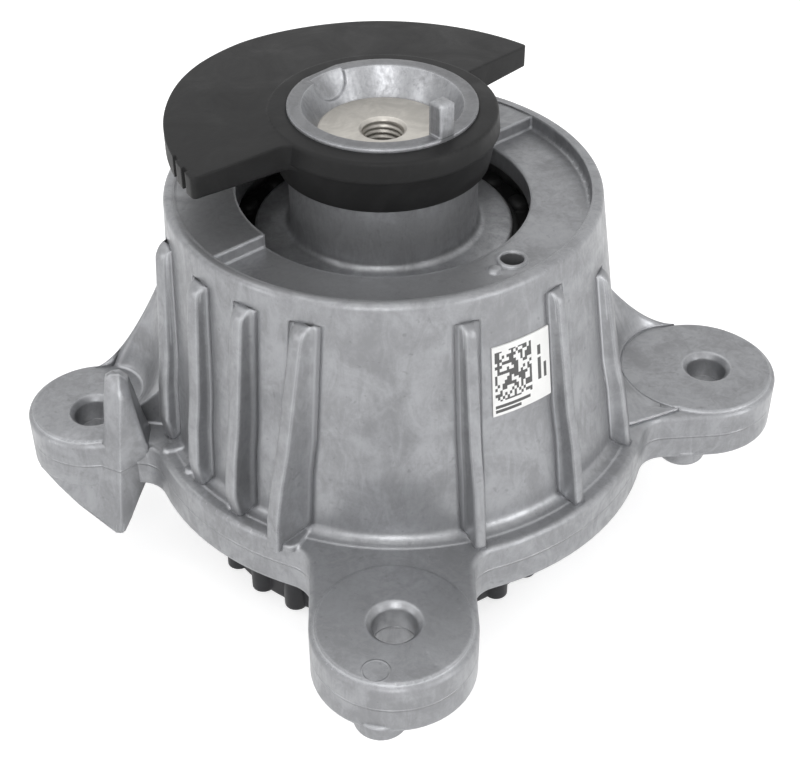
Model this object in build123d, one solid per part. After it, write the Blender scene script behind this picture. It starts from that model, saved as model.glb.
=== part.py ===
"""Fluid-filled engine mount: a die-cast aluminium bell with three lugs holds a cast core in rubber.

Millimetres, +Z up along the core's axis, origin where that axis meets the flat bottom of the cover.
The two side lugs lie along X and the third lug points to -Y.
"""
import os
from math import atan2, cos, degrees, hypot, radians, sin, sqrt

from build123d import *

os.makedirs("parts", exist_ok=True)

# Heights, all from the cover's flat bottom
seat_height = 29.0
lug_thickness = 14.5
pad_rise = 0.6
rim_height = 108.6
raised_floor_height = 108.2
low_floor_height = 104.6
lip_underside_height = 99.6
collar_top_height = 129.7
ring_top_height = 130.75
insert_face_height = 123.5

# Housing wall and flange
rim_radius = 55.4
rim_round = 1.2
rim_lip_width = 1.6
wall_foot_round = 2.5
foot_radius = 61.7
foot_shift = 3.4
flange_radius = 69.4
flange_edge_round = 1.2
mouth_radius = 37.4
mouth_round = 0.9
floor_split_azimuth = 40.0
floor_corner_round = 0.8
cavity_radius = 50.2
cavity_corner_round = 3.0
spring_bore_radius = 50.9
stack_bore_radius = 52.4
shoulder_above_seat = 24.0
spring_bore_length = 21.0

# Lugs: X and Y of each round end with its radius, and X and Y of each hole
lug_places = {
    "front": (1.4, -89.9, 20.0),
    "right": (88.7, 6.2, 21.5),
    "left": (-80.1, -7.4, 18.0),
}
lug_holes = {"front": (1.5, -90.0), "right": (91.0, 6.0), "left": (-79.7, -10.7)}
lug_hole_radius = 5.5
lug_hole_chamfer = 1.3
neck_round = 8.0
lug_edge_round = 0.5
seat_pad_radius = 10.5
seat_pad_rise = 0.4

# Under-lug bosses: distance, azimuth
boss_places = {"front": (103.6, -91.0), "right": (83.6, -6.5)}
boss_radius = 6.6
boss_length = 4.0
boss_round = 1.5

# Webs: ramp line (reach along X, height above the seat), side of the axis, extent along Y
webs = {
    "right": (((57.5, 44.0), (64.2, 30.0), (74.0, 21.5), (87.0, 14.0)), 1, -12.0, 25.0),
    "left": (((58.0, 60.0), (64.9, 40.5), (71.8, 25.3), (85.0, 13.6)), -1, -14.0, 9.0),
}
web_inner_reach = 54.0
web_edge_round = 3.0

# Wedge foot and fin at the left lug (X, Y, height above the seat)
foot_ridge_top = (-68.9, -20.0, 22.6)
foot_ridge_tip = (-73.4, -30.0, -13.4)
foot_ridge_blunt = 2.0
foot_left_run = (-24.1, 11.3)
foot_right_run = (7.5, 6.3)
foot_right_rise = 1.8
foot_depth = 22.0
foot_wall = 4.0
foot_margin = 9.0
fin_front_view = ((-73.8, 8.0), (-73.8, 27.8), (-67.4, 27.8), (-65.8, 23.9), (-63.8, 16.2), (-62.4, 8.0))
fin_side_view = ((-23.8, 8.0), (-23.6, 21.8), (-21.2, 27.8), (-19.4, 27.8), (-19.4, 8.0))
fin_round = 0.6

# Wall ribs: azimuth, top height above the seat, radius at the foot, thickness at the outer edge
ribs = [
    (-155.0, 71.0, 65.4, 2.6),
    (-145.5, 73.0, 63.6, 2.8),
    (-128.5, 73.5, 64.0, 3.0),
    (-111.0, 73.5, 69.6, 5.6),
    (-70.5, 73.0, 69.2, 3.2),
    (-45.0, 73.0, 68.4, 3.2),
    (-22.0, 62.0, 66.6, 3.0),
    (32.0, 73.0, 68.0, 3.2),
    (58.0, 73.0, 69.0, 3.2),
    (90.0, 73.0, 69.0, 3.2),
    (122.0, 73.0, 68.0, 3.2),
    (148.0, 73.0, 65.5, 3.2),
]
rib_top_stand = 1.7
rib_taper = 0.8
rib_draft_width = 1.8
rib_root_depth = 2.0

# Drain hole and ejector dome in the low floor
drain_radius = 2.95
drain_distance = 43.3
drain_azimuth = -45.2
drain_bead_width = 0.8
drain_bead_height = 0.5
dome_distance = 43.8
dome_azimuth = -53.4
dome_radius = 1.7
dome_height = 0.8
dome_round = 0.6

# Core
ring_outer_radius = 23.5
ring_inner_radius = 20.1
ring_side_height = 1.6
collar_seat_radius = 22.6
neck_radius = 24.0
collar_bottom_height = 115.3
saucer_top_height = 97.4
saucer_radius = 33.2
saucer_thickness = 4.0
neck_fillet = 2.0
cone_top_radius = 29.0
cone_bottom_radius = 15.0
cone_bottom_height = 67.0
core_end_round = 2.0
saucer_edge_round = 0.8
ring_edge_round = 0.3
scallop_radius = 5.4
scallop_azimuth = 134.0
scallop_axis_drop = -0.6
scallop_outer = 22.2
scallop_floor_drop = 1.6
rim_flat_distance = 22.7
rim_flat_depth = 1.0
tab_azimuth = -50.0
tab_width = 4.2
tab_height = 8.6
tab_inner = 19.4
tab_round = 0.8

# Threaded insert
insert_radius = 16.2
insert_flange_thickness = 3.2
insert_barrel_radius = 9.6
insert_length = 31.0
insert_edge_round = 0.8
thread_radius = 5.25
thread_depth = 26.0
thread_chamfer = 0.75
drill_point_depth = 2.6
fill_plug_radius = 2.5
fill_plug_length = 6.0
fill_plug_recess = 3.0
fill_plug_chamfer = 0.4

# Collar and shield
collar_radius = 28.4
collar_step_radius = 28.9
collar_step_height = 124.4
collar_foot_radius = 26.6
collar_round = 0.8
collar_step_width = 0.7
shield_rim = (
    (44.2, 53.6), (70.0, 53.0), (92.0, 53.4), (114.0, 54.2), (133.0, 55.6), (148.0, 55.6),
    (160.0, 55.0), (172.0, 54.1), (182.0, 53.6), (200.0, 53.2), (214.6, 53.4),
)
shield_rim_reach = 53.6
shield_start_root = (13.0, 8.0)
shield_end_root = (-15.0, -13.6)
shield_corner_azimuth = -139.0
shield_corner_round = 5.0
shield_tip_round = 1.2
shield_root_inset = 2.0
shield_droop = 2.4
shield_root_thickness = 7.0
shield_edge_thickness = 5.6
notch_azimuths = (203.0, 209.5)
notch_width = 2.2
notch_depth = 1.2

# Rebound buffer
buffer_outer_radius = 42.5
buffer_top = 92.6
buffer_bottom = 87.4
buffer_round = 1.6
buffer_lip_width = 1.8
knob_count = 18
knob_radius = 3.0
knob_height = 2.6
knob_round = 1.6
buffer_lip_drop = 2.0
knob_circle_radius = 38.2

# Main spring and its ring
ring_wall = 2.4
ring_flange_reach = 5.6
ring_top_gap = 0.6
ring_lip_reach = 1.2
ring_lip_thickness = 1.6
ring_round = 0.8
spring_inner_top = 87.0
spring_inner_bottom = 73.0
spring_outer_top = 67.0
spring_outer_bottom = 55.0
spring_top_sag = 3.0
spring_bottom_rise = 4.0

# Channel plates and decoupler
stack_fit = 0.1
upper_plate_thickness = 5.2
lower_plate_thickness = 6.4
plate_edge_chamfer = 0.5
channel_radius = 41.0
channel_width = 6.4
channel_depth = 4.4
channel_sweep = 300.0
channel_start_azimuth = 20.0
channel_port_radius = 2.6
plate_underside_recess = 1.2
plate_top_recess = 1.0
decoupler_radius = 24.0
decoupler_thickness = 3.0
decoupler_gap = 0.3
decoupler_bead_width = 2.0
grille_hole_radius = 2.4
grille_ring_radii = (0.0, 8.0, 16.0)
grille_hole_counts = (1, 6, 12)

# Diaphragm and its bead ring
bead_thickness = 3.4
bead_width = 5.0
diaphragm_wall = 1.6
bellows_radius = 33.0
bellows_depth = 14.0
bellows_crown_rise = 9.0

# Bottom cover
cover_wall = 2.6
cover_radius = 50.3
cover_flange_thickness = 2.6
cover_round = 2.2
lobe_count = 27
lobe_radius = 3.2
lobe_circle_radius = 49.9
lobe_height = 17.0
lobe_bottom = 1.6
lobe_phase_azimuth = -120.0
cover_vent_count = 3
cover_vent_radius = 3.0
cover_vent_distance = 18.0

# Retaining ring
snap_thickness = 1.8
snap_width = 3.0
snap_groove_depth = 1.2
snap_gap_width = 14.0
snap_gap_azimuth = 100.0
snap_above_seat = 1.6

# Label
label_azimuths = (-64.5, -47.9)
label_heights = (46.0, 65.0)
label_thickness = 0.25

# Worked-out values shared by several pieces
lug_top = seat_height + lug_thickness
flange_top = lug_top - pad_rise
seat_pad_bottom = seat_height - seat_pad_rise
shoulder_height = seat_height + shoulder_above_seat
spring_bore_top = shoulder_height + spring_bore_length
snap_bottom = seat_height + snap_above_seat
snap_top = snap_bottom + snap_thickness
cover_flange_top = snap_top + cover_flange_thickness
bead_top = cover_flange_top + bead_thickness
lower_plate_top = bead_top + lower_plate_thickness
upper_plate_top = lower_plate_top + upper_plate_thickness
ring_flange_bottom = upper_plate_top
stack_radius = stack_bore_radius - stack_fit


def polar(distance, azimuth, height=0.0):
    """Point at a distance and azimuth round the core's axis."""
    turn = radians(azimuth)
    return Vector(distance * cos(turn), distance * sin(turn), height)


def turned(points, rounds=None, sweep=360.0):
    """Solid of revolution round Z of a closed outline of (radius, height) points.

    rounds gives a fillet radius for some of the outline's corners, by their place in the list.
    """
    outline = make_face(Polyline(*points, close=True))
    for place, radius in (rounds or {}).items():
        x, y = points[place]
        corner = outline.vertices().sort_by_distance(Vector(x, y, 0))[0]
        outline = fillet(corner, radius)
    return revolve(Plane.XZ * outline, Axis.Z, sweep)


def tube(outer, inner, bottom, top):
    """Plain ring between two radii and two heights."""
    return turned([(inner, bottom), (outer, bottom), (outer, top), (inner, top)])


def rod(radius, bottom, top, at=(0, 0)):
    """Upright cylinder between two heights."""
    return Pos(at[0], at[1], bottom) * extrude(Circle(radius), top - bottom)


def sector(radius, start, end, bottom, top):
    """Upright pie slice from azimuth start to azimuth end, wide enough to cut with."""
    steps = max(2, int((end - start) // 60) + 2)
    fan = [polar(radius, start + (end - start) * i / (steps - 1)) for i in range(steps)]
    face = make_face(Polyline((0, 0), *[(p.X, p.Y) for p in fan], close=True))
    return Pos(0, 0, bottom) * extrude(face, top - bottom)


def wall_radius_at(height, azimuth):
    """Distance from the axis to the bell's outer wall."""
    share = (rim_height - height) / (rim_height - flange_top)
    radius = rim_radius + (foot_radius - rim_radius) * share
    shift = foot_shift * share
    turn = radians(azimuth)
    return shift * cos(turn) + sqrt(radius**2 - (shift * sin(turn)) ** 2)


def bell_blank(extra=0.0):
    """Outer form of the bell: the foot circle stands a little towards the right lug."""
    slope = (foot_radius - rim_radius) / (rim_height - flange_top)
    drift = foot_shift / (rim_height - flange_top)
    drop = flange_top - seat_height
    foot = Pos(foot_shift + drift * drop, 0, seat_height) * Circle(foot_radius + slope * drop + extra)
    rim = Pos(0, 0, rim_height) * Circle(rim_radius + extra)
    return loft([foot, rim], ruled=True)


def flange_plate():
    """Flange with the three lugs: the necks run into the round plate with fillets."""
    outline = Pos(foot_shift, 0) * Circle(flange_radius)
    for x, y, radius in lug_places.values():
        distance = hypot(x, y)
        neck = Pos(distance / 2, 0) * Rectangle(distance, 2 * radius)
        outline += Rot(0, 0, degrees(atan2(y, x))) * (neck + Pos(distance, 0) * Circle(radius))
    corners = []
    for vertex in outline.vertices():
        reach = Vector(vertex.X - foot_shift, vertex.Y, 0).length
        if abs(reach - flange_radius) < 0.01:
            corners.append(vertex)
    outline = fillet(corners, neck_round)
    plate = Pos(0, 0, seat_height) * extrude(outline, flange_top - seat_height)
    top_edges = plate.faces().sort_by(Axis.Z)[-1].outer_wire().edges()
    return fillet(top_edges, flange_edge_round)


def lug_pad(name):
    """Machined round pad on top of a lug, its edge rounded."""
    x, y, radius = lug_places[name]
    pad = rod(radius - flange_edge_round, seat_height, lug_top, (x, y))
    return fillet(pad.edges().group_by(Axis.Z)[-1], lug_edge_round)


def seat_pad(name):
    """Machined pad round a bolt hole under its lug, a little proud of the flange."""
    return rod(seat_pad_radius, seat_pad_bottom, seat_height + 1, lug_holes[name])


def lug_bore(name):
    """Through hole of a lug with a chamfer at both ends."""
    x, y = lug_holes[name]
    half = lug_hole_chamfer / 2
    cutter = turned([
        (0, seat_pad_bottom - 1),
        (lug_hole_radius + half + 1, seat_pad_bottom - 1),
        (lug_hole_radius, seat_pad_bottom + half),
        (lug_hole_radius, lug_top - lug_hole_chamfer),
        (lug_hole_radius + lug_hole_chamfer, lug_top),
        (lug_hole_radius + lug_hole_chamfer, lug_top + 1),
        (0, lug_top + 1),
    ])
    return Pos(x, y, 0) * cutter


def under_boss(name):
    """Short locating boss under a lug, its end rounded."""
    at = polar(*boss_places[name])
    boss = rod(boss_radius, seat_height - boss_length, seat_height + 1, (at.X, at.Y))
    return fillet(boss.edges().group_by(Axis.Z)[0], boss_round)


def wall_rib(azimuth, top_above_seat, foot_reach, thickness):
    """Draughted rib: a plan section at the flange lofted to a smaller one near the rim."""
    sections = []
    for height, reach, width in (
        (flange_top - 1, foot_reach, thickness),
        (seat_height + top_above_seat, None, thickness * rib_taper),
    ):
        wall = wall_radius_at(height, azimuth)
        outer = wall + rib_top_stand if reach is None else reach
        inner = wall - rib_root_depth
        root = width / 2 + rib_draft_width / 2
        tip = width / 2
        sides = Polyline((outer - tip, -tip), (inner, -root), (inner, root), (outer - tip, tip))
        nose = ThreePointArc((outer - tip, tip), (outer, 0), (outer - tip, -tip))
        section = make_face(sides + nose)
        sections.append(Pos(0, 0, height) * Rot(0, 0, azimuth) * section)
    return loft(sections, ruled=True)


def web(side):
    """Broad ramp from the bell's wall down to a side lug, cut back round the lug's pad."""
    top, way, near, far = webs[side]
    curve = Spline(*[(way * x, z + seat_height) for x, z in top])
    start, end = curve @ 0, curve @ 1
    base = Polyline(
        (end.X, end.Y), (end.X, seat_height + 2), (way * web_inner_reach, seat_height + 2),
        (way * web_inner_reach, start.Y), (start.X, start.Y),
    )
    ramp = extrude(Plane.XZ * make_face(curve + base), far - near, dir=(0, 1, 0))
    ramp = Pos(0, near, 0) * ramp
    long_edges = [edge for edge in ramp.edges() if edge.geom_type == GeomType.BSPLINE]
    ramp = fillet(long_edges, web_edge_round)
    x, y, radius = lug_places[side]
    clear = rod(radius, lug_top, rim_height, (x, y))
    return ramp - clear


def foot_section(height):
    """Plan outline of the wedge foot at one height above the seat, pointing to -Y."""
    share = (foot_ridge_top[2] - height) / (foot_ridge_top[2] - foot_ridge_tip[2])
    ridge_x = foot_ridge_top[0] + share * (foot_ridge_tip[0] - foot_ridge_top[0])
    ridge_y = foot_ridge_top[1] + share * (foot_ridge_tip[1] - foot_ridge_top[1])
    blunt = foot_ridge_blunt / 2
    left_x, left_y = foot_left_run
    right_x, right_y = foot_right_run
    return make_face(Polyline(
        (ridge_x - blunt, ridge_y), (ridge_x + blunt, ridge_y),
        (ridge_x + right_x, ridge_y + right_y), (ridge_x + right_x, ridge_y + foot_depth),
        (ridge_x + left_x, ridge_y + foot_depth), (ridge_x + left_x, ridge_y + left_y),
        close=True,
    ))


def wedge_foot():
    """Leaning wedge apron that hangs round the front of the left lug, open behind."""
    low = foot_ridge_tip[2]
    ends = [Pos(0, 0, seat_height + h) * foot_section(h) for h in (low, lug_thickness - pad_rise)]
    wedge = loft(ends, ruled=True)
    tip_x = foot_ridge_tip[0]
    blunt = foot_ridge_blunt / 2
    left_x, right_x = tip_x + foot_left_run[0], tip_x + foot_right_run[0]
    profile = make_face(Polyline(
        (tip_x - blunt, seat_height + low), (tip_x + blunt, seat_height + low),
        (right_x, seat_height + foot_right_rise), (right_x + foot_margin, seat_height + foot_right_rise),
        (right_x + foot_margin, lug_top), (left_x - foot_margin, lug_top), (left_x - foot_margin, seat_height),
        (left_x, seat_height), close=True,
    ))
    keep = extrude(Plane.XZ * profile, -2 * foot_ridge_tip[1])
    wedge = wedge & keep
    hollow_ends = [Pos(0, foot_wall, seat_height + h) * foot_section(h) for h in (low - 1, 0)]
    hollow = loft(hollow_ends, ruled=True)
    return wedge - hollow


def fin():
    """Upright fin that stands on the wedge's ridge in front of the left hole and slopes down to the flange."""
    front = make_face(Polyline(*[(x, seat_height + z) for x, z in fin_front_view], close=True))
    side = make_face(Polyline(*[(y, seat_height + z) for y, z in fin_side_view], close=True))
    plate = extrude(Plane.XZ * front, -2 * fin_side_view[0][0])
    plate &= Pos(2 * fin_front_view[0][0], 0, 0) * extrude(Plane.YZ * side, -2 * fin_front_view[0][0])
    top = [edge for edge in plate.edges() if edge.center().Z > lug_top + fin_round]
    return fillet(top, fin_round)


def make_housing():
    """Die-cast bell: wall, flange, lugs, ribs, webs and foot in one piece."""
    blank = bell_blank()
    rim_edge = blank.edges().group_by(Axis.Z)[-1]
    blank = fillet(rim_edge, rim_round)
    body = blank + flange_plate()
    foot_edges = []
    for edge in body.edges():
        middle = edge.center(CenterOf.MASS) if edge.is_closed else edge @ 0.5
        at = edge @ 0.25
        reach = Vector(at.X - foot_shift, at.Y, 0).length
        if abs(at.Z - flange_top) < 0.01 and abs(middle.Z - flange_top) < 0.01:
            if abs(reach - foot_radius) < 0.5:
                foot_edges.append(edge)
    body = fillet(foot_edges, wall_foot_round)
    inner_wall = rim_radius - rim_round - rim_lip_width
    cavity = turned(
        [
            (0, 0),
            (stack_bore_radius, 0),
            (stack_bore_radius, shoulder_height),
            (spring_bore_radius, shoulder_height),
            (spring_bore_radius, spring_bore_top),
            (cavity_radius, spring_bore_top + 1),
            (cavity_radius, lip_underside_height),
            (0, lip_underside_height),
        ],
        {6: cavity_corner_round},
    )
    groove = tube(stack_bore_radius + snap_groove_depth, stack_bore_radius - 1, snap_bottom, snap_top)
    floor = rod(inner_wall, raised_floor_height, rim_height + 1)
    pocket = turned(
        [(0, low_floor_height), (inner_wall, low_floor_height), (inner_wall, rim_height + 1), (0, rim_height + 1)],
        {1: floor_corner_round},
        180.0,
    )
    pocket = Rot(0, 0, floor_split_azimuth - 180) * pocket
    mouth = rod(mouth_radius, lip_underside_height - 1, rim_height + 1)
    drain = polar(drain_distance, drain_azimuth)
    bead_radius = drain_radius + drain_bead_width
    pocket -= rod(bead_radius, low_floor_height - 1, low_floor_height + drain_bead_height, (drain.X, drain.Y))
    at = polar(dome_distance, dome_azimuth)
    dome = rod(dome_radius, low_floor_height - 1, low_floor_height + dome_height, (at.X, at.Y))
    pocket -= fillet(dome.edges().group_by(Axis.Z)[-1], dome_round)
    for cutter in (cavity, groove, floor, pocket, mouth):
        body -= cutter
    body -= rod(drain_radius, lip_underside_height - 1, rim_height, (drain.X, drain.Y))
    for side in webs:
        body += web(side)
    body += fin()
    body += wedge_foot()
    for rib in ribs:
        body += wall_rib(*rib)
    for name in lug_places:
        body += lug_pad(name)
        body += seat_pad(name)
    for name in boss_places:
        body += under_boss(name)
    for name in lug_places:
        body -= lug_bore(name)
    return body


def make_core():
    """Cast core: top ring and recess, neck, saucer and the cone that the spring grips."""
    saucer_bottom = saucer_top_height - saucer_thickness
    ring_bottom = ring_top_height - ring_side_height
    body = turned(
        [
            (0, cone_bottom_height),
            (cone_bottom_radius, cone_bottom_height),
            (cone_top_radius, saucer_bottom),
            (saucer_radius, saucer_bottom),
            (saucer_radius, saucer_top_height),
            (neck_radius, saucer_top_height),
            (neck_radius, collar_bottom_height),
            (collar_seat_radius, collar_bottom_height),
            (collar_seat_radius, ring_bottom),
            (ring_outer_radius, ring_bottom),
            (ring_outer_radius, ring_top_height),
            (ring_inner_radius, ring_top_height),
            (insert_radius, insert_face_height),
            (0, insert_face_height),
        ],
        {1: core_end_round, 3: saucer_edge_round, 4: saucer_edge_round, 5: neck_fillet, 10: ring_edge_round},
    )
    at = polar(1, scallop_azimuth)
    axis = Plane(origin=(0, 0, ring_top_height + scallop_axis_drop), z_dir=(at.X, at.Y, 0))
    groove = extrude(axis * Circle(scallop_radius), scallop_outer)
    slope = (ring_top_height - insert_face_height) / (ring_inner_radius - insert_radius)
    floor_drop = scallop_floor_drop * slope
    keep = turned([
        (insert_radius + scallop_floor_drop, insert_face_height),
        (scallop_outer, insert_face_height + slope * (scallop_outer - insert_radius) - floor_drop),
        (scallop_outer, ring_top_height + scallop_radius),
        (0, ring_top_height + scallop_radius),
        (0, insert_face_height),
    ])
    body -= groove & keep
    flat_start = polar(rim_flat_distance, scallop_azimuth)
    flat = Box(
        ring_outer_radius, 2 * ring_outer_radius, 2 * rim_flat_depth,
        align=(Align.MIN, Align.CENTER, Align.CENTER),
    )
    body -= Pos(flat_start.X, flat_start.Y, ring_top_height) * Rot(0, 0, scallop_azimuth) * flat
    tab = Pos((tab_inner + neck_radius) / 2, 0, 0) * Rectangle(neck_radius - tab_inner, tab_width)
    tab = Rot(0, 0, tab_azimuth) * tab
    tab = Pos(0, 0, ring_bottom) * extrude(tab, ring_side_height + tab_height)
    tab &= rod(ring_outer_radius, ring_bottom, ring_top_height + tab_height)
    tab = fillet(tab.edges().group_by(Axis.Z)[-1], tab_round)
    body += tab
    seat = turned([
        (0, insert_face_height - insert_length),
        (insert_barrel_radius, insert_face_height - insert_length),
        (insert_barrel_radius, insert_face_height - insert_flange_thickness),
        (insert_radius, insert_face_height - insert_flange_thickness),
        (insert_radius, insert_face_height + 1),
        (0, insert_face_height + 1),
    ])
    body -= seat
    body -= rod(fill_plug_radius, cone_bottom_height - 1, insert_face_height)
    return body


def make_insert():
    """Flanged insert cast into the core, bored and chamfered for the mate's bolt."""
    bottom = insert_face_height - insert_length
    bore_end = insert_face_height - thread_depth
    body = turned(
        [
            (0, bottom),
            (insert_barrel_radius, bottom),
            (insert_barrel_radius, insert_face_height - insert_flange_thickness),
            (insert_radius, insert_face_height - insert_flange_thickness),
            (insert_radius, insert_face_height),
            (thread_radius + thread_chamfer, insert_face_height),
            (thread_radius, insert_face_height - thread_chamfer),
            (thread_radius, bore_end),
            (0, bore_end - drill_point_depth),
        ],
        {1: insert_edge_round},
    )
    return body


def make_fill_plug():
    """Pressed plug that closes the core's filling bore, its ends chamfered."""
    bottom = cone_bottom_height + fill_plug_recess
    plug = rod(fill_plug_radius, bottom, bottom + fill_plug_length)
    return chamfer(plug.edges().filter_by(GeomType.CIRCLE), fill_plug_chamfer)


def shield_outline():
    """Plan of the shield: a spline rim and two straight ends that run into the collar."""
    rim = Spline(*[polar(radius, azimuth) for azimuth, radius in shield_rim])
    ends = Polyline(rim @ 1, shield_end_root, shield_start_root, rim @ 0)
    plan = make_face(rim + ends) + Circle(collar_radius - collar_round)
    inner = plan.vertices().sort_by_distance(polar(collar_radius, shield_corner_azimuth))[0]
    plan = fillet(inner, shield_corner_round)
    tips = [plan.vertices().sort_by_distance(rim @ place)[0] for place in (0, 1)]
    return fillet(tips, shield_tip_round)


def make_collar():
    """Rubber collar round the core with the fan-shaped shield, one moulding."""
    ring_bottom = ring_top_height - ring_side_height
    collar = turned(
        [
            (collar_seat_radius, collar_bottom_height),
            (collar_foot_radius, collar_bottom_height),
            (collar_step_radius - collar_step_width, collar_step_height),
            (collar_step_radius, collar_step_height),
            (collar_radius, collar_top_height),
            (ring_outer_radius, collar_top_height),
            (ring_outer_radius, ring_bottom),
            (collar_seat_radius, ring_bottom),
        ],
        {1: collar_round, 4: collar_round},
    )
    root = collar_seat_radius + shield_root_inset
    wide = shield_rim_reach + 2
    fall = shield_droop * (wide - root) / (shield_rim_reach - root)
    under_fall = fall + (shield_edge_thickness - shield_root_thickness) * (wide - root) / (shield_rim_reach - root)
    under = collar_top_height - shield_root_thickness
    plate = turned([
        (root, under),
        (wide, under - under_fall),
        (wide, collar_top_height - fall),
        (root, collar_top_height),
    ])
    plan = extrude(shield_outline(), ring_top_height)
    fan = plate & plan
    for azimuth in notch_azimuths:
        at = polar(shield_rim_reach, azimuth, collar_top_height)
        fan -= Pos(at) * Rot(0, 0, azimuth) * Box(2 * notch_depth, notch_width, 4 * shield_root_thickness)
    return collar + fan


def make_rebound_buffer():
    """Knobbed rubber ring under the saucer's edge that meets the lip on rebound."""
    saucer_bottom = saucer_top_height - saucer_thickness
    slope = (cone_top_radius - cone_bottom_radius) / (saucer_bottom - cone_bottom_height)
    inner = cone_top_radius - slope * (saucer_bottom - buffer_bottom)
    lip_top = saucer_top_height - buffer_lip_drop
    body = turned(
        [
            (inner, buffer_bottom),
            (buffer_outer_radius, buffer_bottom),
            (buffer_outer_radius, buffer_top),
            (saucer_radius + buffer_lip_width, buffer_top),
            (saucer_radius + buffer_lip_width, lip_top),
            (saucer_radius, lip_top),
            (saucer_radius, saucer_bottom),
            (cone_top_radius, saucer_bottom),
        ],
        {1: buffer_round, 2: buffer_round, 4: buffer_lip_width / 2},
    )
    for number in range(knob_count):
        at = polar(knob_circle_radius, number * 360 / knob_count)
        knob = rod(knob_radius, buffer_top - 1, buffer_top + knob_height, (at.X, at.Y))
        body += fillet(knob.edges().group_by(Axis.Z)[-1], knob_round)
    return body


def make_main_spring():
    """Conical rubber spring between the core's cone and the outer ring."""
    saucer_bottom = saucer_top_height - saucer_thickness
    slope = (cone_top_radius - cone_bottom_radius) / (saucer_bottom - cone_bottom_height)
    upper_in = (cone_bottom_radius + slope * (spring_inner_top - cone_bottom_height), spring_inner_top)
    lower_in = (cone_bottom_radius + slope * (spring_inner_bottom - cone_bottom_height), spring_inner_bottom)
    outer = spring_bore_radius - ring_wall
    middle = (upper_in[0] + outer) / 2
    top = ThreePointArc(
        upper_in, (middle, (spring_inner_top + spring_outer_top) / 2 - spring_top_sag), (outer, spring_outer_top)
    )
    side = Line((outer, spring_outer_top), (outer, spring_outer_bottom))
    middle = (lower_in[0] + outer) / 2
    bottom = ThreePointArc(
        (outer, spring_outer_bottom),
        (middle, (spring_inner_bottom + spring_outer_bottom) / 2 + spring_bottom_rise), lower_in,
    )
    bond = Line(lower_in, upper_in)
    return revolve(Plane.XZ * make_face(top + side + bottom + bond), Axis.Z)


def make_spring_ring():
    """Outer ring of the spring: a tube with a foot flange and a turned-in top lip."""
    outer = spring_bore_radius
    inner = outer - ring_wall
    top = spring_bore_top - ring_top_gap
    return turned(
        [
            (inner - ring_flange_reach + ring_wall, ring_flange_bottom),
            (stack_radius, ring_flange_bottom),
            (stack_radius, shoulder_height),
            (outer, shoulder_height),
            (outer, top),
            (inner - ring_lip_reach, top),
            (inner - ring_lip_reach, top - ring_lip_thickness),
            (inner, top - ring_lip_thickness),
            (inner, shoulder_height),
            (inner - ring_flange_reach + ring_wall, shoulder_height),
        ],
        {4: ring_round},
    )


def grille_holes(bottom, top):
    """Round holes of the decoupler's grille as one cutter."""
    holes = []
    for radius, count in zip(grille_ring_radii, grille_hole_counts):
        for number in range(count):
            at = polar(radius, number * 360 / count)
            holes.append(rod(grille_hole_radius, bottom, top, (at.X, at.Y)))
    return holes


def channel_slot(height, sweep, depth):
    """Cutter for the fluid channel: a circular groove with round ends, cut down from a height."""
    groove = turned(
        [
            (channel_radius - channel_width / 2, height - depth),
            (channel_radius + channel_width / 2, height - depth),
            (channel_radius + channel_width / 2, height + 1),
            (channel_radius - channel_width / 2, height + 1),
        ],
        None,
        sweep,
    )
    groove = Rot(0, 0, channel_start_azimuth) * groove
    for azimuth in (channel_start_azimuth, channel_start_azimuth + sweep):
        at = polar(channel_radius, azimuth)
        groove += rod(channel_width / 2, height - depth, height + 1, (at.X, at.Y))
    return groove


def make_lower_plate():
    """Lower channel plate: open spiral groove on top, grille and half the decoupler's pocket."""
    body = rod(stack_radius, bead_top, lower_plate_top)
    body = chamfer(body.edges().filter_by(GeomType.CIRCLE), plate_edge_chamfer)
    pocket_depth = decoupler_thickness / 2 + decoupler_gap
    body -= rod(decoupler_radius + decoupler_gap, lower_plate_top - pocket_depth, lower_plate_top + 1)
    body -= rod(decoupler_radius, bead_top - 1, bead_top + plate_underside_recess)
    body -= channel_slot(lower_plate_top, channel_sweep, channel_depth)
    port = polar(channel_radius, channel_start_azimuth)
    body -= rod(channel_port_radius, bead_top - 1, lower_plate_top, (port.X, port.Y))
    for hole in grille_holes(bead_top - 1, lower_plate_top + 1):
        body -= hole
    return body


def make_upper_plate():
    """Upper channel plate: lid of the channel with its port, grille and half the pocket."""
    body = rod(stack_radius, lower_plate_top, upper_plate_top)
    body = chamfer(body.edges().filter_by(GeomType.CIRCLE), plate_edge_chamfer)
    pocket_depth = decoupler_thickness / 2 + decoupler_gap
    body -= rod(decoupler_radius + decoupler_gap, lower_plate_top - 1, lower_plate_top + pocket_depth)
    body -= rod(decoupler_radius + decoupler_gap, upper_plate_top - plate_top_recess, upper_plate_top + 1)
    port = polar(channel_radius, channel_start_azimuth + channel_sweep)
    body -= rod(channel_port_radius, lower_plate_top - 1, upper_plate_top + 1, (port.X, port.Y))
    for hole in grille_holes(lower_plate_top - 1, upper_plate_top + 1):
        body -= hole
    return body


def make_decoupler():
    """Loose rubber disc between the plates, with a locating bead all round its edge."""
    middle = lower_plate_top
    half = decoupler_thickness / 2
    bead = half + decoupler_gap
    return turned([
        (0, middle - half),
        (decoupler_radius - decoupler_bead_width, middle - half),
        (decoupler_radius - decoupler_bead_width, middle - bead),
        (decoupler_radius, middle - bead),
        (decoupler_radius, middle + bead),
        (decoupler_radius - decoupler_bead_width, middle + bead),
        (decoupler_radius - decoupler_bead_width, middle + half),
        (0, middle + half),
    ])


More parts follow.
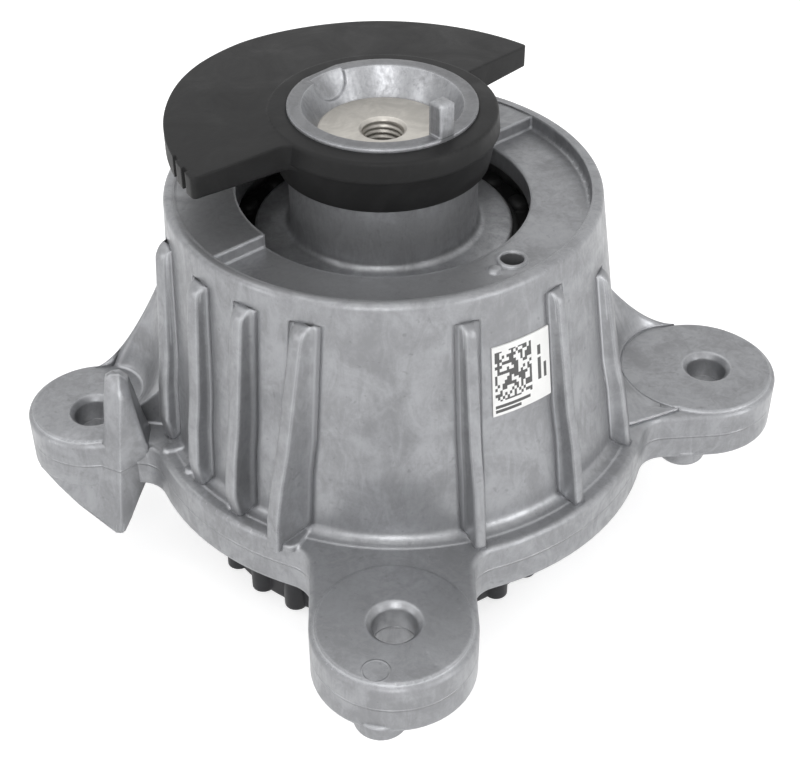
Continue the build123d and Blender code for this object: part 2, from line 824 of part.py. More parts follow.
def make_diaphragm():
    """Rolling rubber bellows with a thick bead that the cover's flange clamps."""
    bead_inner = stack_radius - bead_width
    top = bead_top
    low = cover_flange_top - bellows_depth
    wall = diaphragm_wall
    start = (bead_inner, top - wall / 2)
    valley = (bellows_radius, low)
    crown = (0, low + bellows_crown_rise)
    curve = Spline(start, valley, crown, tangents=((-0.5, -1), (-1, 0)))
    line = trace(curve, wall)
    bead = Pos((bead_inner + stack_radius) / 2, (cover_flange_top + top) / 2) * Rectangle(bead_width, bead_thickness)
    section = (line + bead) & Pos(stack_radius / 2, low) * Rectangle(stack_radius, 4 * bellows_depth)
    return revolve(Plane.XZ * section, Axis.Z)


def make_bottom_cover():
    """Lobed cup under the flange with vents in its floor."""
    lip_inner = cover_radius - cover_wall
    body = turned(
        [
            (0, 0),
            (cover_radius, 0),
            (cover_radius, snap_top),
            (stack_radius, snap_top),
            (stack_radius, cover_flange_top),
            (lip_inner, cover_flange_top),
            (lip_inner, cover_wall),
            (0, cover_wall),
        ],
        {1: cover_round, 6: cover_round},
    )
    for number in range(lobe_count):
        at = polar(lobe_circle_radius, lobe_phase_azimuth + number * 360 / lobe_count)
        lobe = rod(lobe_radius, lobe_bottom, lobe_height, (at.X, at.Y))
        lobe -= rod(lip_inner + cover_wall / 2, -1, lobe_height + 1)
        body += lobe
    for number in range(cover_vent_count):
        at = polar(cover_vent_distance, number * 360 / cover_vent_count)
        body -= rod(cover_vent_radius, -1, cover_wall + 1, (at.X, at.Y))
    return body


def make_retaining_ring():
    """Snap ring in the housing's groove under the cover's flange, with its assembly gap."""
    outer = stack_bore_radius + snap_groove_depth
    ring = tube(outer, outer - snap_width, snap_bottom, snap_top)
    gap = Rot(0, 0, snap_gap_azimuth) * Pos(outer, 0, snap_bottom)
    return ring - gap * Box(2 * outer, snap_gap_width, 4 * snap_thickness, align=(Align.MIN, Align.CENTER, Align.CENTER))


def make_label():
    """Thin adhesive label laid on the bell's wall between two ribs."""
    start, end = label_azimuths
    low, high = label_heights
    shell = bell_blank(label_thickness) - bell_blank()
    wedge = sector(2 * flange_radius, start, end, seat_height + low, seat_height + high)
    return shell & wedge


makers = {
    "housing": make_housing,
    "core": make_core,
    "thread_insert": make_insert,
    "fill_plug": make_fill_plug,
    "stop_collar": make_collar,
    "rebound_buffer": make_rebound_buffer,
    "main_spring": make_main_spring,
    "spring_ring": make_spring_ring,
    "upper_channel_plate": make_upper_plate,
    "lower_channel_plate": make_lower_plate,
    "decoupler": make_decoupler,
    "diaphragm": make_diaphragm,
    "bottom_cover": make_bottom_cover,
    "retaining_ring": make_retaining_ring,
    "label": make_label,
}
for name, make in makers.items():
    solid = make()
    print(name, solid.is_valid, len(solid.solids()), round(solid.volume))
    export_step(solid, f"parts/{name}.step")
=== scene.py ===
"""Looks of a fluid-filled engine mount: cast and rubber finishes, label marks, bore thread, stage and camera.

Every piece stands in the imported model's frame, in metres. Surfaces are worked out with numpy on grids.
"""
import math

import bmesh
import bpy
import numpy as np
from mathutils import Matrix, Vector


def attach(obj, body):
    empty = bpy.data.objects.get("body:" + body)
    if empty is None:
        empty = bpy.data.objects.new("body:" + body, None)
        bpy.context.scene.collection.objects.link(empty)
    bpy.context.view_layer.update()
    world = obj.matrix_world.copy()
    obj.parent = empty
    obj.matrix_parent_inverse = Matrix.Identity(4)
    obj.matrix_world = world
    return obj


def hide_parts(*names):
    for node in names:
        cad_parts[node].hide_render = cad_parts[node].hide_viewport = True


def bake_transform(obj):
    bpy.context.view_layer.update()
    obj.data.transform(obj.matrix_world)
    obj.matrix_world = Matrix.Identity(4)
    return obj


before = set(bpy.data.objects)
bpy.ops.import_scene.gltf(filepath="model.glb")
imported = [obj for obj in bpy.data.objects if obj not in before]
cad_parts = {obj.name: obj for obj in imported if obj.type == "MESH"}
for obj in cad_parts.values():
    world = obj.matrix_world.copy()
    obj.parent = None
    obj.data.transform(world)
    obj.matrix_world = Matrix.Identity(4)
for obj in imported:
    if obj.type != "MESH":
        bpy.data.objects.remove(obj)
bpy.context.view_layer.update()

bl_info = {
    "name": "Engine Mount Looks",
    "version": (1, 0, 0),
    "blender": (4, 5, 0),
    "location": "View3D > Sidebar > Mount",
    "description": "Dresses the packed engine mount with cast, rubber and label finishes",
    "category": "Object",
}

HOUSING = "housing_body"
CORE = "core_body"
MM = 0.001
EDGE_ANGLE = math.radians(24)
MERGE_DISTANCE = 0.000002

# Finishes: shares and factors, grain sizes and depths in metres, and the rings' wave in radians per metre.
# In each finish, the edge share and the bright factor set a painted highlight along the rounded edges.
CAST = {"edge_highlight": 0.55, "metallic": 0.68, "smooth": 0.30, "rough": 0.46, "freckles": 0.30, "bright": 2.1,
        "grain": 0.0009, "pits": 0.45, "relief": 0.85}
TURNED = {"edge_highlight": 0.4, "metallic": 0.8, "dull": 0.78, "bright": 1.5, "wave": 5200.0, "relief": 0.35, "depth": 0.00002}
MOULDED = {"edge_highlight": 0.6, "specular": 0.22, "bloom": 2.6, "bright": 3.4, "grain": 0.0006, "pits": 0.2,
           "relief": 0.7, "depth": 0.00004}
FILM = {"ink": 0.95, "paper_rough": 0.42, "ink_rough": 0.30, "relief": 0.2, "depth": 0.00003}

# Marks on the castings: the mould's parting line, an ejector's ring on the front lug, the core's machined face.
PARTING_HEIGHT = 0.0358
EJECTOR_CENTRE = (-0.0028, -0.1046, 0.0435)
EJECTOR_RADIUS = 0.0032
MACHINED_HEIGHT = 0.13075

# The label's block of cells and its bars, each as left, right, low and high in shares of the film.
LABEL_BLOCK = (0.04, 0.66, 0.20, 0.92)
LABEL_BARS = (
    (0.04, 0.62, 0.105, 0.15), (0.04, 0.46, 0.04, 0.085),
    (0.77, 0.83, 0.30, 0.62), (0.77, 0.83, 0.66, 0.80), (0.88, 0.93, 0.30, 0.52),
)
LABEL = {"azimuths": (-64.5, -47.9), "heights": (75.0 * MM, 94.0 * MM), "stand": 0.30 * MM}

# The bell's wall: its cone from rim to flange, its lower band with the round at the foot, and its grid's limits.
BELL = {
    "rim_height": 108.6 * MM, "flange_height": 42.9 * MM, "rim_radius": 55.4 * MM,
    "foot_radius": 61.7 * MM, "foot_shift": 3.4 * MM,
}
WALL_BAND = {"high": 70.0 * MM, "low": 61.0 * MM, "stand": 0.7 * MM, "foot": 2.8 * MM}
WALL_GRID = {
    "below": 1.0 * MM, "round_below": 0.2 * MM, "top": 107.42 * MM, "inset_above": 106.9 * MM, "inset": 0.01 * MM,
}

RIBS = (
    # degrees round the axis, offset across, width, foot height, top height, reach at foot and top, share at the foot
    (-133.0, -27.5, 4.2, 43.0, 101.0, 5.2, 3.2, 0.62),
    (-133.0, -8.2, 4.2, 43.0, 102.0, 5.2, 3.2, 0.62),
    (-133.0, 7.4, 4.2, 43.0, 102.5, 6.4, 3.4, 0.66),
    (-133.0, 22.6, 4.4, 43.0, 102.5, 10.2, 3.0, 0.9),
    (-70.5, 0.0, 3.4, 43.0, 102.5, 6.4, 2.6, 0.95),
    (-45.0, 0.0, 3.4, 43.0, 102.5, 5.4, 2.6, 0.95),
    (-22.0, 0.0, 3.4, 43.0, 95.0, 4.8, 2.4, 0.95),
    *((turn, 0.0, 3.4, 43.0, 102.0, 6.0, 2.6, 0.95) for turn in (32.0, 58.0, 90.0, 122.0)),
    (148.0, 0.0, 3.4, 43.0, 102.0, 5.4, 2.6, 0.95),
)
RIB = {"below": 1.5 * MM, "cap": 3.2 * MM, "foot_run": 7.0 * MM, "least": 0.05 * MM, "full": 2.9 * MM}
# Section of a rib: steps out from its side and off the wall at the root, in from its side and off its face at the tip.
RIB_ROOT = np.array([(1.6, -2.5), (1.6, -0.05), (1.0, 0.10), (0.45, 0.45), (0.12, 1.0), (0.0, 1.7)]) * MM
RIB_TIP = np.array([(0.15, -1.2), (0.25, -0.6), (0.55, -0.2), (1.1, 0.0)]) * MM

# Webs from the wall down to the lugs' pads.
FAIRINGS = {
    # azimuths on the wall, heights there, then the pad's centre, its reach, the angles round it, and the power
    "right": ((25.0, -20.0), (73.0, 44.0), (88.7, 6.2), 22.1, (100.0, 246.0), 1.75),
    "left": ((167.0, 198.0), (89.0, 62.0), (-79.7, -2.4), 12.4, (106.0, -74.0), 1.6),
}
FAIRING = {
    "level": 0.35, "fullness": 0.8, "lip_share": 0.02, "sunk": 0.8 * MM, "side_height": 43.45 * MM,
    "middle_rise": 0.45 * MM, "draw_in": 1.3 * MM, "lip_drop": 1.2 * MM, "skirt": 36.0 * MM,
}

# Where the model's own bell is cut, with the distances that decide what is merged, left out and levelled.
CUT_HEIGHTS = (43.62 * MM, 107.38 * MM)
CUT = {
    "merge": 0.000001, "plane": 0.0000005, "face_margin": -0.3 * MM, "rim_margin": 0.2 * MM, "level": 0.002 * MM,
    "stump_span": 12.0 * MM,
}
FLANGE_TOP = 43.0 * MM

# The wedge apron and the fin above it; the fin's rows come first and reach back no further than its limit.
APRON_ROWS = (
    # left edge, crease, ridge and right edge of each row from the fin's top down to the tip, then the depth behind
    ((-73.3, -20.2, 61.9), (-71.4, -20.4, 63.2), (-69.5, -20.5, 63.6), (-67.3, -20.5, 61.6), 1.9),
    ((-73.6, -21.3, 58.9), (-70.9, -22.6, 60.2), (-69.4, -23.0, 60.3), (-66.9, -21.8, 59.4), 2.6),
    ((-74.0, -22.0, 56.8), (-70.1, -24.2, 57.6), (-69.1, -24.6, 58.0), (-66.5, -22.9, 57.8), 3.6),
    ((-74.6, -22.7, 49.5), (-72.2, -24.6, 50.4), (-69.9, -25.7, 50.2), (-65.0, -24.4, 49.6), 5.4),
    ((-75.2, -24.0, 45.2), (-74.4, -24.8, 43.9), (-70.5, -26.6, 43.6), (-63.4, -26.1, 43.4), 6.0),
    ((-76.6, -24.4, 39.6), (-76.1, -24.9, 39.0), (-70.9, -27.2, 39.2), (-63.6, -24.4, 38.6), 5.4),
    ((-78.0, -24.5, 34.4), (-77.5, -24.9, 34.5), (-71.3, -27.8, 35.0), (-64.1, -22.0, 34.0), 4.6),
    ((-81.4, -24.0, 29.1), (-80.7, -24.3, 29.3), (-71.8, -28.4, 30.0), (-65.3, -22.9, 29.0), 4.0),
    ((-85.6, -22.5, 27.3), (-84.4, -23.1, 27.0), (-72.0, -28.7, 27.4), (-66.3, -23.9, 27.0), 3.4),
    ((-91.2, -19.4, 29.4), (-88.5, -20.9, 27.2), (-72.2, -29.0, 25.0), (-67.4, -24.9, 24.8), 3.2),
    ((-95.2, -17.5, 29.2), (-90.4, -20.7, 24.9), (-72.4, -29.3, 22.4), (-68.8, -26.3, 21.8), 3.0),
    ((-90.3, -20.6, 24.8), (-84.7, -24.1, 20.7), (-72.7, -29.7, 19.4), (-70.1, -27.6, 18.9), 2.8),
    ((-75.4, -29.2, 15.9), (-74.3, -29.7, 15.6), (-73.2, -30.2, 15.6), (-71.9, -29.3, 15.7), 1.6),
)
FIN_ROWS = 5
FIN_BACK = -18.6
APRON_EDGE = 0.7 * MM

# The bore's thread, and the corners of the rubber spring's section as (radius, height) with the bow of its flanks.
THREAD = {"radius": 5.22 * MM, "depth": 0.42 * MM, "pitch": 1.5 * MM, "low": 98.2 * MM, "high": 122.6 * MM}
SPRING = {
    "inner_low": (17.93 * MM, 73.0 * MM), "inner_high": (25.34 * MM, 87.0 * MM),
    "outer_low": (48.5 * MM, 55.0 * MM), "outer_high": (48.5 * MM, 67.0 * MM), "sag": 3.0 * MM, "rise": 4.0 * MM,
}

FLOOR_SIDE = 4.0
FLOOR_LIFT = 0.55
LAMPS = (
    # name, place, height of its target on the axis, size, the setting with its power, share of that power
    ("top_lamp", (-0.25, 0.15, 1.2), 0.05, 1.1, "top_power", 1.0),
    ("front_lamp", (-0.1, -1.15, 0.75), 0.06, 0.7, "front_power", 1.0),
    ("left_lamp", (-1.05, -0.55, 0.45), 0.06, 0.6, "side_power", 0.45),
    ("right_lamp", (0.95, -0.7, 0.4), 0.06, 0.6, "side_power", 1.0),
)


class MountFinish(bpy.types.PropertyGroup):
    """Colours and surface detail of the mount's finishes."""

    cast_colour: bpy.props.FloatVectorProperty(
        name="Cast colour", description="Plain tone of the die-cast aluminium", subtype="COLOR",
        size=3, min=0.0, max=1.0, default=(0.32, 0.325, 0.338))
    cast_stain: bpy.props.FloatVectorProperty(
        name="Cast stain", description="Darker tone of the flow marks in the casting", subtype="COLOR",
        size=3, min=0.0, max=1.0, default=(0.235, 0.238, 0.247))
    insert_colour: bpy.props.FloatVectorProperty(
        name="Insert colour", description="Warm tone of the turned insert", subtype="COLOR",
        size=3, min=0.0, max=1.0, default=(0.60, 0.575, 0.53))
    rubber_colour: bpy.props.FloatVectorProperty(
        name="Rubber colour", description="Tone of the moulded rubber", subtype="COLOR",
        size=3, min=0.0, max=1.0, default=(0.009, 0.009, 0.0092))
    cover_colour: bpy.props.FloatVectorProperty(
        name="Cover colour", description="Tone of the moulded bottom cover", subtype="COLOR",
        size=3, min=0.0, max=1.0, default=(0.022, 0.022, 0.024))
    steel_colour: bpy.props.FloatVectorProperty(
        name="Steel colour", description="Tone of the rings and the plug", subtype="COLOR",
        size=3, min=0.0, max=1.0, default=(0.30, 0.30, 0.31))
    edge_width: bpy.props.FloatProperty(
        name="Edge width", description="Width of the rounded, brighter edges of a casting",
        unit="LENGTH", min=0.0, default=0.0012)
    grain_depth: bpy.props.FloatProperty(
        name="Grain depth", description="Depth of the casting's fine grain", unit="LENGTH", min=0.0, default=0.00006)
    stain_size: bpy.props.FloatProperty(
        name="Stain size", description="Size of the casting's flow marks", unit="LENGTH", min=0.0005, default=0.013)


class MountLabel(bpy.types.PropertyGroup):
    """Marks and colours of the plain label."""

    cells: bpy.props.IntProperty(
        name="Cells", description="Cells along either side of the block", subtype="UNSIGNED", min=2, default=16)
    blank_share: bpy.props.FloatProperty(
        name="Blank share", description="Share of the block's cells that stay blank",
        subtype="FACTOR", min=0.0, max=1.0, default=0.48)
    ink: bpy.props.FloatVectorProperty(
        name="Ink", description="Colour of the label's marks", subtype="COLOR",
        size=3, min=0.0, max=1.0, default=(0.03, 0.03, 0.03))
    paper: bpy.props.FloatVectorProperty(
        name="Paper", description="Colour of the label's film", subtype="COLOR",
        size=3, min=0.0, max=1.0, default=(0.80, 0.80, 0.79))


class MountStage(bpy.types.PropertyGroup):
    """Camera, lamps and floor."""

    camera_place: bpy.props.FloatVectorProperty(
        name="Camera place", description="Where the camera stands", subtype="XYZ", unit="LENGTH",
        size=3, default=(0.0, -0.32962, 0.30313))
    pitch: bpy.props.FloatProperty(
        name="Pitch", description="How far the camera looks down", subtype="ANGLE", default=math.radians(38.0865))
    yaw: bpy.props.FloatProperty(
        name="Yaw", description="How far the camera looks to the right", subtype="ANGLE", default=math.radians(0.7068))
    roll: bpy.props.FloatProperty(
        name="Roll", description="How far the camera is rolled", subtype="ANGLE", default=math.radians(-0.1508))
    lens: bpy.props.FloatProperty(
        name="Lens", description="Focal length on a 36 mm sensor", unit="CAMERA", min=10.0, default=67.53)
    floor_colour: bpy.props.FloatVectorProperty(
        name="Floor colour", description="Tone of the floor", subtype="COLOR",
        size=3, min=0.0, max=1.0, default=(0.80, 0.80, 0.80))
    top_power: bpy.props.FloatProperty(
        name="Top lamp", description="Power of the broad lamp overhead", unit="POWER", min=0.0, default=2.8)
    front_power: bpy.props.FloatProperty(
        name="Front lamp", description="Power of the lamp beside the camera", unit="POWER", min=0.0, default=6.0)
    side_power: bpy.props.FloatProperty(
        name="Side lamps", description="Power of the right lamp, and of the left one before its share",
        unit="POWER", min=0.0, default=4.5)
    world_strength: bpy.props.FloatProperty(
        name="World strength", description="Strength of the even light all round", subtype="FACTOR",
        min=0.0, default=0.60)


class Tree:
    """Short way to place and join shader nodes."""

    def __init__(self, tree):
        self.tree = tree
        self.column = 0

    def add(self, kind, *links, **settings):
        """Places a node, sets its properties and joins its inputs in order; None leaves an input alone."""
        node = self.tree.nodes.new(kind)
        node.location = (self.column * 60, -(self.column % 6) * 140)
        self.column += 1
        for name, value in settings.items():
            setattr(node, name, value)
        for place, source in enumerate(links):
            self.put(node.inputs[place], source)
        return node

    def put(self, socket, source):
        """Joins a socket to another socket, or sets its value."""
        if source is None:
            return
        if isinstance(source, bpy.types.NodeSocket):
            self.tree.links.new(source, socket)
        else:
            socket.default_value = source

    def fill(self, node, **values):
        """Joins or sets inputs by name, with _ in place of each space, and returns the node's outputs."""
        for name, source in values.items():
            self.put(node.inputs[name.replace("_", " ")], source)
        return node.outputs

    def math(self, operation, a, b=None):
        """Result of a math node."""
        return self.add("ShaderNodeMath", a, b, operation=operation).outputs[0]

    def ramp(self, value, low, high, out_low=0.0, out_high=1.0, smooth=True):
        """Maps a value's range onto another one, clamped at both ends."""
        node = self.tree.nodes.new("ShaderNodeMapRange")
        node.interpolation_type = "SMOOTHSTEP" if smooth else "LINEAR"
        return self.fill(node, Value=value, From_Min=low, From_Max=high, To_Min=out_low, To_Max=out_high)[0]

    def noise(self, vector, scale, detail=4.0, roughness=0.55, distortion=0.0):
        """Value of a layered noise."""
        node = self.tree.nodes.new("ShaderNodeTexNoise")
        return self.fill(node, Vector=vector, Scale=scale, Detail=detail, Roughness=roughness,
                         Distortion=distortion)[0]

    def mix(self, share, a, b):
        """Mixes two colours by a share."""
        node = self.tree.nodes.new("ShaderNodeMix")
        node.data_type = "RGBA"
        for socket, source in zip((node.inputs[0], node.inputs[6], node.inputs[7]), (share, a, b)):
            if isinstance(source, (tuple, list)) and len(source) == 3:
                source = (*source, 1.0)
            self.put(socket, source)
        return node.outputs[2]


def tint(colour, factor):
    """A colour made darker or lighter by a factor."""
    return tuple(min(1.0, factor * c) for c in colour)


def new_group(name, inputs, outputs):
    """Makes an empty shader node group with named sockets and returns it with its tree helper."""
    group = bpy.data.node_groups.new(name, "ShaderNodeTree")
    for label, kind, value in inputs:
        socket = group.interface.new_socket(label, in_out="INPUT", socket_type=kind)
        if value is not None:
            socket.default_value = value
    for label, kind in outputs:
        group.interface.new_socket(label, in_out="OUTPUT", socket_type=kind)
    source = group.nodes.new("NodeGroupInput")
    sink = group.nodes.new("NodeGroupOutput")
    return group, Tree(group), source.outputs, sink.inputs


def flow_marks_group():
    """Mottle of a casting: broad clouds, stretched flow streaks and small dark freckles, all from noise."""
    group, tree, given, out = new_group(
        "flow_marks",
        [("Vector", "NodeSocketVector", None), ("Size", "NodeSocketFloat", 0.012)],
        [("Tone", "NodeSocketFloat"), ("Freckles", "NodeSocketFloat")],
    )
    scale = tree.math("DIVIDE", 1.0, given["Size"])
    broad = tree.noise(given["Vector"], scale, 5.0, 0.62, 0.9)
    stretch = tree.add("ShaderNodeVectorMath", given["Vector"], (1.0, 1.0, 0.35), operation="MULTIPLY").outputs[0]
    streak = tree.noise(stretch, tree.math("MULTIPLY", scale, 3.2), 6.0, 0.68, 1.6)
    fine = tree.noise(given["Vector"], tree.math("MULTIPLY", scale, 12.0), 3.0, 0.7, 0.4)
    tone = tree.math("ADD", tree.math("MULTIPLY", broad, 0.50), tree.math("MULTIPLY", streak, 0.36))
    tone = tree.math("ADD", tone, tree.math("MULTIPLY", fine, 0.14))
    tree.put(out["Tone"], tree.ramp(tone, 0.37, 0.63))
    speck = tree.noise(given["Vector"], tree.math("MULTIPLY", scale, 7.0), 2.0, 0.5, 0.3)
    tree.put(out["Freckles"], tree.ramp(speck, 0.66, 0.76))
    return group


def soft_edges_group():
    """Edge mask that places a painted highlight on the rounded edges, and rounded normal: the bevelled normal turns
    away from the true one only near an edge.
    """
    group, tree, given, out = new_group(
        "soft_edges",
        [("Width", "NodeSocketFloat", 0.001), ("Wear", "NodeSocketFloat", 0.5)],
        [("Edge", "NodeSocketFloat"), ("Normal", "NodeSocketVector")],
    )
    rounded = tree.add("ShaderNodeBevel", given["Width"], samples=4).outputs[0]
    true = tree.add("ShaderNodeNewGeometry").outputs["Normal"]
    along = tree.add("ShaderNodeVectorMath", rounded, true, operation="DOT_PRODUCT").outputs["Value"]
    away = tree.math("SUBTRACT", 1.0, along)
    tree.put(out["Edge"], tree.math("MULTIPLY", tree.ramp(away, 0.004, 0.16), given["Wear"]))
    tree.put(out["Normal"], rounded)
    return group


def grain_group():
    """Height of a fine surface grain: two noises, with small pits pressed in."""
    group, tree, given, out = new_group(
        "surface_grain",
        [("Vector", "NodeSocketVector", None), ("Size", "NodeSocketFloat", 0.0008), ("Pits", "NodeSocketFloat", 0.5)],
        [("Height", "NodeSocketFloat")],
    )
    scale = tree.math("DIVIDE", 1.0, given["Size"])
    fine = tree.noise(given["Vector"], scale, 3.0, 0.6)
    wave = tree.noise(given["Vector"], tree.math("MULTIPLY", scale, 0.16), 3.0, 0.5)
    cells = tree.add("ShaderNodeTexVoronoi", given["Vector"], None, tree.math("MULTIPLY", scale, 0.22)).outputs[0]
    pits = tree.math("MULTIPLY", tree.ramp(cells, 0.06, 0.20, 1.0, 0.0), given["Pits"])
    height = tree.math("ADD", tree.math("MULTIPLY", fine, 0.45), tree.math("MULTIPLY", wave, 0.9))
    tree.put(out["Height"], tree.math("SUBTRACT", height, pits))
    return group


GROUP_MAKERS = {"flow_marks": flow_marks_group, "soft_edges": soft_edges_group, "surface_grain": grain_group}


def use_group(tree, name, **values):
    """Places a shared node group, made when it is first asked for, and sets or joins its named inputs."""
    node = tree.tree.nodes.new("ShaderNodeGroup")
    node.node_tree = bpy.data.node_groups.get(name) or GROUP_MAKERS[name]()
    return tree.fill(node, **values)


def clear_tree(data):
    """Switches on the nodes of a material or world, empties them and returns their helper."""
    data.use_nodes = True
    data.node_tree.nodes.clear()
    return Tree(data.node_tree)


def new_material(name):
    """Node material with its helper, its shader and its object coordinates."""
    material = bpy.data.materials.new(name)
    tree = clear_tree(material)
    shader = tree.add("ShaderNodeBsdfPrincipled")
    tree.add("ShaderNodeOutputMaterial", shader.outputs[0])
    place = tree.add("ShaderNodeTexCoord").outputs["Object"]
    return material, tree, shader, place


def relief(tree, shader, height, strength, depth, normal=None):
    """Joins a height to the shader's normal through a bump."""
    bump = tree.add("ShaderNodeBump")
    tree.fill(shader, Normal=tree.fill(bump, Strength=strength, Distance=depth, Height=height, Normal=normal)[0])


def line_at(tree, value, centre, near, far, most):
    """Narrow line where a value passes its centre: at its most up to near, nothing beyond far."""
    off = tree.math("ABSOLUTE", tree.math("SUBTRACT", value, centre))
    return tree.ramp(off, near, far, most, 0.0)


def cast_metal(name, finish, tone=1.0, parting=True, size=None, machined=None):
    """Die-cast aluminium: mottled tone, freckles, a painted highlight on the rounded edges, fine grain and a mould
    parting line.
    """
    material, tree, shader, place = new_material(name)
    colour, stain = tint(finish.cast_colour, tone), tuple(finish.cast_stain)
    marks = use_group(tree, "flow_marks", Vector=place, Size=size or finish.stain_size)
    edges = use_group(tree, "soft_edges", Width=finish.edge_width, Wear=CAST["edge_highlight"])
    grain = use_group(tree, "surface_grain", Vector=place, Size=CAST["grain"], Pits=CAST["pits"])
    height = tree.add("ShaderNodeSeparateXYZ", place).outputs[2]
    base = tree.mix(marks["Tone"], stain, colour)
    base = tree.mix(tree.math("MULTIPLY", marks["Freckles"], CAST["freckles"]), base, tint(stain, 0.55))
    # Painted highlight: near a rounded edge the colour is mixed towards a brighter tone.
    base = tree.mix(edges["Edge"], base, tint(colour, CAST["bright"]))
    if machined:
        base = tree.mix(line_at(tree, height, machined, 0.0001, 0.0002, 0.62), base, tint(colour, 0.30))
    tree.put(shader.inputs["Base Color"], base)
    shader.inputs["Metallic"].default_value = CAST["metallic"]
    tree.put(shader.inputs["Roughness"], tree.ramp(marks["Tone"], 0.0, 1.0, CAST["rough"], CAST["smooth"], False))
    raised = grain["Height"]
    if parting:
        raised = tree.math("ADD", raised, line_at(tree, height, PARTING_HEIGHT, 0.0001, 0.0004, 4.0))
        reach = tree.add("ShaderNodeVectorMath", place, EJECTOR_CENTRE, operation="SUBTRACT").outputs[0]
        far = tree.add("ShaderNodeVectorMath", reach, operation="LENGTH").outputs["Value"]
        raised = tree.math("ADD", raised, line_at(tree, far, EJECTOR_RADIUS, 0.0001, 0.00035, 2.5))
    relief(tree, shader, raised, CAST["relief"], finish.grain_depth, edges["Normal"])
    return material


def turned_metal(name, colour, finish, rough=0.38):
    """Turned metal: faint rings round the axis in colour and bump, with soft clouds and a painted highlight on its
    edges.
    """
    material, tree, shader, place = new_material(name)
    at = tree.add("ShaderNodeSeparateXYZ", place).outputs
    flat = tree.add("ShaderNodeCombineXYZ", at[0], at[1], 0.0).outputs[0]
    far = tree.add("ShaderNodeVectorMath", flat, operation="LENGTH").outputs["Value"]
    wobble = tree.math("MULTIPLY", tree.noise(place, 300.0, 2.0), 0.0004)
    wave = tree.math("SINE", tree.math("MULTIPLY", tree.math("ADD", far, wobble), TURNED["wave"]))
    cloud = tree.noise(place, 140.0, 5.0, 0.65, 0.6)
    edges = use_group(tree, "soft_edges", Width=0.5 * finish.edge_width, Wear=TURNED["edge_highlight"])
    base = tree.mix(tree.ramp(cloud, 0.35, 0.68), tint(colour, TURNED["dull"]), tuple(colour))
    # Painted highlight: near an edge the colour is mixed towards a brighter tone.
    base = tree.mix(edges["Edge"], base, tint(colour, TURNED["bright"]))
    tree.put(shader.inputs["Base Color"], base)
    shader.inputs["Metallic"].default_value = TURNED["metallic"]
    tree.put(shader.inputs["Roughness"], tree.ramp(cloud, 0.3, 0.7, rough + 0.1, rough, False))
    relief(tree, shader, tree.math("ADD", wave, cloud), TURNED["relief"], TURNED["depth"], edges["Normal"])
    return material


def moulded_black(name, colour, finish, rough=(0.42, 0.62), dust=0.35):
    """Moulded rubber or plastic: near black with a dusty bloom in patches, softly lit edges and a fine skin."""
    material, tree, shader, place = new_material(name)
    cloud = tree.noise(place, 70.0, 6.0, 0.66, 0.8)
    fine = tree.noise(place, 900.0, 3.0, 0.7)
    edges = use_group(tree, "soft_edges", Width=0.8 * finish.edge_width, Wear=MOULDED["edge_highlight"])
    grain = use_group(tree, "surface_grain", Vector=place, Size=MOULDED["grain"], Pits=MOULDED["pits"])
    bloom = tree.math("MULTIPLY", tree.ramp(tree.math("ADD", cloud, tree.math("MULTIPLY", fine, 0.2)), 0.5, 0.8), dust)
    base = tree.mix(bloom, tuple(colour), tint(colour, MOULDED["bloom"]))
    # Painted highlight: near an edge the colour is mixed towards a brighter tone.
    base = tree.mix(edges["Edge"], base, tint(colour, MOULDED["bright"]))
    tree.put(shader.inputs["Base Color"], base)
    tree.put(shader.inputs["Roughness"], tree.ramp(cloud, 0.3, 0.7, rough[0], rough[1], False))
    shader.inputs["Specular IOR Level"].default_value = MOULDED["specular"]
    relief(tree, shader, grain["Height"], MOULDED["relief"], MOULDED["depth"], edges["Normal"])
    return material


def in_box(tree, mask, at, box):
    """A mask kept only inside a box of the film, given as left, right, low and high."""
    for value, least, most in ((at[0], box[0], box[1]), (at[1], box[2], box[3])):
        mask = tree.math("MULTIPLY", mask, tree.math("GREATER_THAN", value, least))
        mask = tree.math("MULTIPLY", mask, tree.math("LESS_THAN", value, most))
    return mask


def label_film(label):
    """Printed film: a block of small cells, and short bars beside and below it, on the piece's own UV map."""
    material, tree, shader, place = new_material("label_film")
    uv = tree.add("ShaderNodeUVMap", uv_map="film").outputs[0]
    at = tree.add("ShaderNodeSeparateXYZ", uv).outputs
    left, right, low, high = LABEL_BLOCK
    counts = (label.cells / (right - left), label.cells / (high - low), 0.0)
    step = tree.add("ShaderNodeVectorMath", uv, counts, operation="MULTIPLY").outputs[0]
    whole = tree.add("ShaderNodeVectorMath", step, operation="FLOOR").outputs[0]
    dice = tree.add("ShaderNodeTexWhiteNoise", whole, noise_dimensions="2D").outputs["Value"]
    ink = in_box(tree, tree.math("GREATER_THAN", dice, label.blank_share), at, LABEL_BLOCK)
    for bar in LABEL_BARS:
        ink = tree.math("MAXIMUM", ink, in_box(tree, 1.0, at, bar))
    cloud = tree.noise(place, 160.0, 4.0)
    paper = tree.mix(tree.ramp(cloud, 0.3, 0.7), tint(label.paper, 0.93), tuple(label.paper))
    tree.put(shader.inputs["Base Color"], tree.mix(tree.math("MULTIPLY", ink, FILM["ink"]), paper, tuple(label.ink)))
    tree.put(shader.inputs["Roughness"], tree.ramp(ink, 0.0, 1.0, FILM["paper_rough"], FILM["ink_rough"], False))
    relief(tree, shader, cloud, FILM["relief"], FILM["depth"])
    return material


def paint(node, material):
    """Gives a CAD node its material and soft shading."""
    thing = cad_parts[node]
    thing.data.materials.clear()
    thing.data.materials.append(material)
    soften(thing)


def add_object(name, data):
    """Links a new object with its data to the scene, at the origin."""
    thing = bpy.data.objects.new(name, data)
    bpy.context.scene.collection.objects.link(thing)
    return thing


